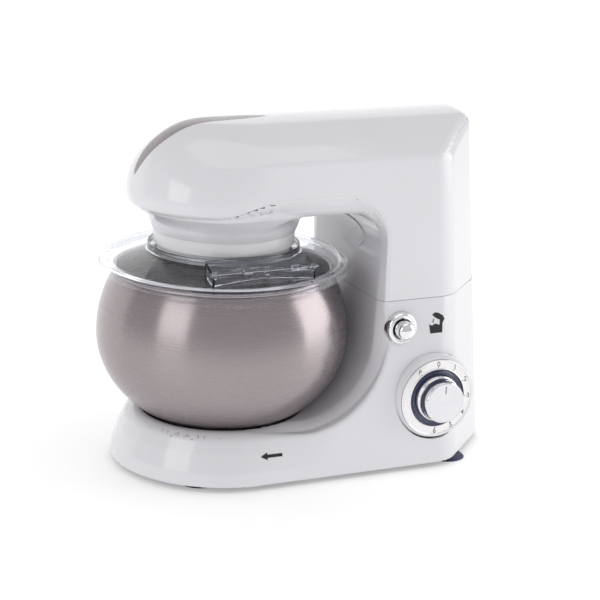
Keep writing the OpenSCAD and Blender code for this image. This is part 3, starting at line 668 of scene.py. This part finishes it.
patch("crown_inlay", leaf_edges, crown_surface, 0.9, INLAY, "head", ["head_inlay"], 12)


BADGE_Y, BADGE_Z, BADGE_HALF_W, BADGE_HALF_H = -5, 209, 30, 14


def badge_edges(s):
    a = math.pi * (1 - s)
    y = BADGE_Y + BADGE_HALF_W * math.cos(a)
    h = BADGE_HALF_H * max(math.sin(a), 0.01)
    return (y, BADGE_Z - h), (y, BADGE_Z + h)


def column_surface(y, z, layer):
    """A point 0.9 mm in front of the column's front face, with layer added."""
    p = find_surface(arch_above, (90, y, z), (1, 0, 0), 60)
    return p[0] - 0.9 - layer, p[1], p[2]


patch("badge_oval", badge_edges, column_surface, 1.0, WHITE, "head", ["badge_plate"])


def side_wall(x, z):
    """A point of the left wall of the lower housing."""
    return find_surface(lower_field, (x, -112, z), (0, 1, 0), 40)


def printed(name, outlines):
    """Ink 0.2 mm proud of the left wall. Each outline is a list of (x, z)."""
    verts, faces = [], []
    for outline in outlines:
        base = len(verts)
        for x, z in outline:
            p = side_wall(x, z)
            verts.append((p[0], p[1] - 0.2, p[2]))
        faces.append(tuple(range(base, base + len(outline))))
    mesh = from_arrays(name, verts, faces, smooth=False)
    bm = bmesh.new()
    bm.from_mesh(mesh)
    bmesh.ops.triangulate(bm, faces=bm.faces)
    bmesh.ops.recalc_face_normals(bm, faces=bm.faces)
    for f in bm.faces:
        if f.normal.y > 0:
            f.normal_flip()
    bm.to_mesh(mesh)
    bm.free()
    return add_object(name, mesh, PRINT, "base")


AX, AZ = 11.2, 30.7
printed("lock_arrow", [[(AX - 11, AZ), (AX - 4.5, AZ - 3.4), (AX - 4.5, AZ - 1.4), (AX + 10, AZ - 1.4),
                        (AX + 10, AZ + 1.4), (AX - 4.5, AZ + 1.4), (AX - 4.5, AZ + 3.4)]])


def turned(points, angle, at):
    """The points turned by angle degrees and moved to at."""
    c, s = math.cos(math.radians(angle)), math.sin(math.radians(angle))
    return [(at[0] + p[0] * c - p[1] * s, at[1] + p[0] * s + p[1] * c) for p in points]


PX, PZ = 179.8, 133.0
tub = [(PX - 8, PZ + 1.5), (PX - 7, PZ - 7), (PX + 5.5, PZ - 7), (PX + 6, PZ + 1.5), (PX + 2, PZ + 0.4),
       (PX - 1.5, PZ + 1.8), (PX - 5, PZ + 0.2)]
head_sign = turned([(-7, -1.6), (-5, 1.6), (-1, 2.6), (4, 2.2), (7, 0), (6.4, -5), (4, -6.4),
                    (2.6, -2.6), (-2, -2.8)], -28, (PX + 2.2, PZ + 8.4))
whisk = [(PX - 4.6, PZ + 2.8), (PX - 3.6, PZ + 6.6), (PX - 2.9, PZ + 6.3), (PX - 3.7, PZ + 2.6)]
printed("release_sign", [tub, head_sign, whisk])


# ---------------------------------------------------------------- bowl, feet and neck ring


BELLY_R, BELLY_Z = 116.0, 122.0
WALL_LOW_Z, WALL_TOP_Z, BOWL_WALL = 52.0, 183.0, 1.2


def bowl_radius(z):
    """Two half ellipses that meet at the belly, the lower one shorter."""
    half = 92.0 if z < BELLY_Z else 115.0
    return BELLY_R * math.sqrt(max(0, 1 - ((z - BELLY_Z) / half) ** 2))


wall_z = [WALL_LOW_Z + (WALL_TOP_Z - WALL_LOW_Z) * k / 40 for k in range(41)]
outer = [(bowl_radius(z), z) for z in wall_z]
inner = [(r - BOWL_WALL, z) for r, z in outer]
lip = [(outer[-1][0] + 0.9 + 2.1 * math.sin(t), WALL_TOP_Z + 0.1 + 1.7 * math.cos(t))
       for t in np.linspace(2.6, -1.2, 12)]
profile = [(0.01, 47), (58, 47), (64, 47.3), (69, 48.4)] + outer + lip + inner[::-1] + \
          [(67.5, 49.8), (62, 48.4), (0.01, 48.2)]
revolve("bowl_shell", profile, BOWL, "bowl", (0, 0, 0), replaced=["bowl"], segments=220)

for k, (fx, fy) in enumerate([(-45, -62), (-45, 62), (200, -78), (200, 78)]):
    foot = rounded([(0.01, 1.6), (10, 0.4), (12, 0), (16.4, 0), (17, 0.6), (13.2, 3.2), (12, 4.9), (6, 4.9),
                    (6, 8), (7.8, 8.1), (7.8, 9), (0.01, 9)], 0.4, 3)
    revolve(f"suction_foot_{k}", foot, FEET, "base", (fx, fy, 0), replaced=["suction_feet"], segments=64,
            closed=False)

ring = rounded([(57, 198.6), (61, 198.6), (61, 208), (64.5, 208), (64.5, 220.8), (62.8, 220.8), (62.8, 225),
                (59.8, 225), (59.8, 213.5), (57, 213.5)], 0.5, 3, True)
revolve("neck_ring_shell", ring, RING_WHITE, "head", (0, 0, 0), replaced=["neck_ring"])


# ---------------------------------------------------------------- button and dial

face = (BUTTON[0], -85.5, BUTTON[1])
bezel = rounded([(4.05, -21), (12, -21), (12, -8), (15.2, -8), (15.2, 1), (13.6, 3.6), (11, 3.4), (9.3, 1.2),
                 (9.1, -19), (4.05, -19)], [0, 0, 0, 0, 0.8, 2.2, 1.6, 0.8, 0, 0], 6, True)
revolve("button_ring", bezel, CHROME, "base", face, "Y", ["button_bezel"], 96)
CAP_R, CAP_EDGE, CAP_RISE = 8.5, 10, 5.5
dome = [(0.01, -28), (4, -28), (4, -6), (CAP_R, -6)]
dome += [(CAP_R * math.cos(t), CAP_EDGE + CAP_RISE * math.sin(t))
         for t in np.linspace(0, math.pi / 2 - 0.01, 16)]
dome += [(0.01, CAP_EDGE + CAP_RISE)]
revolve("button_cap", dome, CHROME, "button", face, "Y", ["release_button"], 96, closed=False)

DIAL_Y, LABEL_R, TICK_LOW, TICK_HIGH = -100, 32.4, 28.9, 30
dial_face = (DIAL[0], DIAL_Y, DIAL[1])
collar = rounded([(30, -14), (40.2, -14), (40.2, -6), (38.2, -1.4), (36.9, -1.2), (36.9, -3.5), (30, -3.5)],
                 [0, 0, 0, 3, 0.6, 0, 0], 6, True)
revolve("dial_collar", collar, WHITE, "base", dial_face, "Y", ["dial_bezel"])
number_ring = rounded([(10, -14), (29.9, -14), (29.9, -3.4), (36.8, -3.4), (36.8, -0.4), (36.2, 0),
                       (35.2, -0.1), (34.8, -0.9), (28.6, -0.9), (28.1, -0.3), (27.6, -0.3), (27.4, -5),
                       (10, -5)],
                      [0, 0, 0, 0, 0.2, 0.2, 0.2, 0.2, 0.2, 0.1, 0.1, 0, 0], 4, True)
revolve("dial_number_ring", number_ring, DIAL_FACE, "base", dial_face, "Y", ["dial_bezel"])
rim = rounded([(36.3, -1), (37, -1), (37, -0.1), (36.7, 0.15), (36.3, 0.1)], 0.15, 3, True)
revolve("dial_rim", rim, CHROME, "base", dial_face, "Y", ["dial_bezel"])
navy = rounded([(20, -5), (27.3, -5), (27.3, -1.8), (26.2, -1.3), (24.6, -2.4), (20, -2.5)], 0.3, 4, True)
revolve("navy_ring", navy, NAVY, "base", dial_face, "Y", ["dial_ring"])

knob = rounded([(0.01, -27), (3, -27), (3, -13), (9, -13), (9, -4), (19.5, -4), (19.5, -1.8), (21.8, -1.8),
                (22, 0.6), (21.4, 2.2), (20.6, 2.6), (20, 3.6), (19.5, 6), (19.5, 14.6), (18.7, 15.4)],
               [0, 0, 0, 0, 0, 0, 0, 0.2, 0.8, 0.8, 0.5, 1.0, 1.0, 0.6, 0], 5)
revolve("knob_body", knob, CHROME, "knob", dial_face, "Y", ["speed_knob"], 128, closed=False)
disc = rounded([(0.01, 15.5), (18.3, 15.5), (18.72, 15.3)], 0.3, 3)
revolve("knob_face", disc, SPUN, "knob", dial_face, "Y", ["speed_knob"], 128, closed=False)


def flat_strip(name, points, y, material, body, origin):
    """A thin flat shape that faces -Y: points are (x, z) from origin."""
    verts = [(x, -y, z) for x, z in points] + [(x, -y + 0.12, z) for x, z in points]
    n = len(points)
    faces = [tuple(range(n)), tuple(range(2 * n - 1, n - 1, -1))]
    faces += [(k, n + k, n + (k + 1) % n, (k + 1) % n) for k in range(n)]
    mesh = from_arrays(name, verts, faces, smooth=False)
    bm = bmesh.new()
    bm.from_mesh(mesh)
    bmesh.ops.recalc_face_normals(bm, faces=bm.faces)
    bm.to_mesh(mesh)
    bm.free()
    return add_object(name, mesh, material, body, origin=origin)


pointer = [(-0.4, 8.5), (0.4, 8.5), (0.4, 16), (-0.4, 16)]
flat_strip("knob_pointer", pointer, 15.56, DIAL_INK, "knob", dial_face)

# Angles in degrees, clockwise from the top
LABELS = [("P", -36), ("0", 0), ("1", 32), ("2", 62), ("3", 92), ("4", 122), ("5", 151), ("6", 182)]
for text, angle in LABELS:
    a = math.radians(angle)
    curve = bpy.data.curves.new("dial_mark_" + text, "FONT")
    curve.body = text
    curve.size = 0.0066
    curve.extrude = 0.00005
    curve.align_x = "CENTER"
    curve.align_y = "CENTER"
    obj = bpy.data.objects.new("dial_mark_" + text, curve)
    at = (DIAL[0] + LABEL_R * math.sin(a), DIAL_Y + 0.86, DIAL[1] + LABEL_R * math.cos(a))
    obj.location = place(at)
    obj.rotation_euler = (math.pi / 2, 0, 0)
    curve.materials.append(DIAL_INK)
    bpy.context.scene.collection.objects.link(obj)
    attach(obj, "base")
    c, s = math.cos(a), math.sin(a)
    corners = [(-0.35, TICK_LOW), (0.35, TICK_LOW), (0.35, TICK_HIGH), (-0.35, TICK_HIGH)]
    tick = [(x * c + z * s, -x * s + z * c) for x, z in corners]
    flat_strip("dial_tick_" + text, tick, -0.82, DIAL_INK, "base", dial_face)


# ---------------------------------------------------------------- splash guard

ROD_Y, ROD_Z, ROD_R, LEAN = -88.5, 202.0, 1.2, 25.0
CHUTE_X, CHUTE_Y, CHUTE_WALL, CORNER_X = (-46.0, 52.0), (-89.0, -70.0), 1.8, 50

dish_corners = [(61.5, 201), (67.5, 201), (70, 198.5), (105, 188.5), (109, 191.3), (112.5, 190),
                (112.5, 183.2), (113.5, 183), (114.5, 183.4), (114.5, 190.6), (112.8, 193), (109, 193.8),
                (104.4, 190.9), (71, 200.4), (69.5, 203), (69.5, 207), (67.5, 207), (67.5, 203), (61.5, 203)]
dish_radii = [0.3, 0.5, 1.5, 2.5, 1.5, 0.8, 0.3, 0.4, 0.4, 1.5, 1.2, 2.5, 2, 1.5, 0.8, 0.7, 0.7, 0.5, 0.3]
dish = rounded(dish_corners, dish_radii, 5, True)
revolve("guard_dish", dish, CLEAR, "guard", (0, 0, 0), replaced=["splash_guard"], segments=200)


def extrude_x(points, x0, x1):
    """A closed prism along X over (y, z) points, as arrays."""
    n = len(points)
    verts = [(x0, y, z) for y, z in points] + [(x1, y, z) for y, z in points]
    faces = [tuple(range(n - 1, -1, -1)), tuple(range(n, 2 * n))]
    faces += [(k, (k + 1) % n, n + (k + 1) % n, n + k) for k in range(n)]
    return verts, faces


def gather(parts):
    """Several prisms as one pair of arrays."""
    verts, faces = [], []
    for v, f in parts:
        base = len(verts)
        verts += v
        faces += [tuple(base + i for i in q) for q in f]
    return verts, faces


def soft_prism(name, parts, material, body, replaced, bevel=0.4):
    """Joins prisms into one piece and softens their edges."""
    mesh = from_arrays(name, *gather(parts), smooth=False)
    bm = bmesh.new()
    bm.from_mesh(mesh)
    bmesh.ops.recalc_face_normals(bm, faces=bm.faces)
    bmesh.ops.bevel(bm, geom=bm.edges[:], offset=bevel, segments=2, affect="EDGES", clamp_overlap=True)
    bm.to_mesh(mesh)
    bm.free()
    mesh.shade_smooth()
    mesh.set_sharp_from_angle(angle=math.radians(35))
    return add_object(name, mesh, material, body, replaced)


def on_rod(points):
    """From the rod's own leaning frame to (y, z)."""
    c, s = math.cos(math.radians(LEAN)), math.sin(math.radians(LEAN))
    return [(ROD_Y + y * c - z * s, ROD_Z + y * s + z * c) for y, z in points]


def chute_rim(y):
    """Height of the chute's sloping rim, a little below the rod's own plane."""
    return ROD_Z + (y - ROD_Y) * math.tan(math.radians(LEAN)) - 3.2 / math.cos(math.radians(LEAN))


def dish_top(r):
    """Height of the dish's upper face at a radius."""
    return 200.4 - (r - 71) * 0.288


def dish_floor(y):
    return dish_top(math.hypot(CORNER_X, y)) - 2.6


front_y, back_y = CHUTE_Y
walls = []
for y0, y1 in ((front_y, front_y + CHUTE_WALL), (back_y - CHUTE_WALL, back_y)):
    low = dish_floor(y0)
    walls.append(extrude_x([(y0, low), (y1, low), (y1, chute_rim(y1)), (y0, chute_rim(y0))], *CHUTE_X))
end_wall = [(front_y, dish_floor(front_y)), (back_y, dish_floor(back_y)),
            (back_y, chute_rim(back_y)), (front_y, chute_rim(front_y))]
for x0, x1 in ((CHUTE_X[0], CHUTE_X[0] + CHUTE_WALL), (CHUTE_X[1] - CHUTE_WALL, CHUTE_X[1])):
    walls.append(extrude_x(end_wall, x0, x1))
knuckle_plate = on_rod([(-1.8, -5), (2, -5), (2, 1.2), (1, 2.2), (-0.9, 2.2), (-1.8, 1.2)])
for x in (CHUTE_X[0], 4, CHUTE_X[1] - 4):
    walls.append(extrude_x(knuckle_plate, x, x + 4))
soft_prism("guard_chute", walls, CLEAR, "guard", ["splash_guard"])

rod_section = [(ROD_Y + ROD_R * math.cos(t), ROD_Z + ROD_R * math.sin(t))
               for t in np.linspace(0, 2 * math.pi, 24, endpoint=False)]
rod = extrude_x(rod_section, CHUTE_X[0] - 3, CHUTE_X[1] + 3)
soft_prism("hinge_rod", [rod], CLEAR, "guard", ["flap_rod"], 0.2)

leaf = on_rod([(3.6, -2.8), (20, -2.8), (20, -1), (3.6, -1)])
flap_parts = [extrude_x(leaf, CHUTE_X[0] + 0.5, CHUTE_X[1] - 0.5)]
for x in (-17, 29):
    knuckle = [(2.6 * math.cos(t), 2.6 * math.sin(t)) for t in np.linspace(-2.2, 4.0, 22)]
    flap_parts.append(extrude_x(on_rod([(5, -2.6), (5, -1)] + knuckle[6:]), x, x + 8))
soft_prism("guard_flap", flap_parts, CLEAR, "flap", ["filler_flap"], 0.3)


# ---------------------------------------------------------------- floor, light and camera


def world(strength):
    w = bpy.data.worlds.new("studio")
    bpy.context.scene.world = w
    w.use_nodes = True
    bg = w.node_tree.nodes["Background"]
    bg.inputs[0].default_value = (1, 1, 1, 1)
    bg.inputs[1].default_value = strength


def floor():
    """A pale table that curves up into a backdrop."""
    bm = bmesh.new()
    side, back, rise, steps = 2.6, 1.6, 1.4, 16
    rows = [(-side, 0.0), (back - 0.5, 0.0)]
    rows += [(back - 0.5 + 0.5 * math.sin(t), 0.5 - 0.5 * math.cos(t))
             for t in np.linspace(0, math.pi / 2, steps)[1:]]
    rows.append((back, rise))
    grid = [[bm.verts.new((x, y, z)) for x in (-side, side)] for y, z in rows]
    for a, b in zip(grid, grid[1:]):
        bm.faces.new((a[0], a[1], b[1], b[0]))
    mesh = bpy.data.meshes.new("floor")
    bm.to_mesh(mesh)
    bm.free()
    mesh.shade_smooth()
    obj = bpy.data.objects.new("studio_floor", mesh)
    bpy.context.scene.collection.objects.link(obj)
    mat = plastic("floor_paint", (0.92, 0.92, 0.92), 0.6, grain=300, bump=0.02, vary=0.005)
    shader = mat.node_tree.nodes["Principled BSDF"]
    shader.inputs["Emission Color"].default_value = (1, 1, 1, 1)
    shader.inputs["Emission Strength"].default_value = 0.3
    mesh.materials.append(mat)


def softbox(name, at, look, size, power):
    data = bpy.data.lights.new(name, "AREA")
    data.shape = "RECTANGLE"
    data.size, data.size_y = size
    data.energy = power
    data.spread = math.pi
    obj = bpy.data.objects.new(name, data)
    obj.location = at
    obj.rotation_euler = (Vector(look) - Vector(at)).to_track_quat("-Z", "Y").to_euler()
    bpy.context.scene.collection.objects.link(obj)


world(0.6)
floor()
softbox("right_box", (1.55, -0.5, 0.55), (0, 0, 0.15), (1.1, 1.3), 9)
softbox("left_box", (-1.5, -0.6, 0.75), (0, 0, 0.2), (0.8, 1.1), 4)
softbox("top_box", (0.0, -0.1, 1.9), (0, 0, 0.1), (1.6, 1.2), 4)

# Turn, height and roll in radians, distance and aim point in metres, fitted to the object's outlines
TURN, PITCH, ROLL = 0.43055, 0.28265, 0.03166
DISTANCE, AIM = 1.876498, (0.078503 + BOWL_X * MM, 0.0, 0.143265)


def camera():
    back = Vector((-math.sin(TURN) * math.cos(PITCH), -math.cos(TURN) * math.cos(PITCH), math.sin(PITCH)))
    right = (-back).cross(Vector((0, 0, 1))).normalized()
    up = right.cross(-back)
    right, up = (right * math.cos(ROLL) + up * math.sin(ROLL), -right * math.sin(ROLL) + up * math.cos(ROLL))
    data = bpy.data.cameras.new("camera")
    data.sensor_width = 36
    data.lens = 120
    data.clip_start, data.clip_end = 0.05, 20
    obj = bpy.data.objects.new("camera", data)
    turn = Matrix((right, up, back)).transposed().to_4x4()
    obj.matrix_world = Matrix.Translation(Vector(AIM) + back * DISTANCE) @ turn
    bpy.context.scene.collection.objects.link(obj)
    bpy.context.scene.camera = obj


camera()
bpy.context.scene.view_settings.view_transform = "Standard"
bpy.context.view_layer.update()
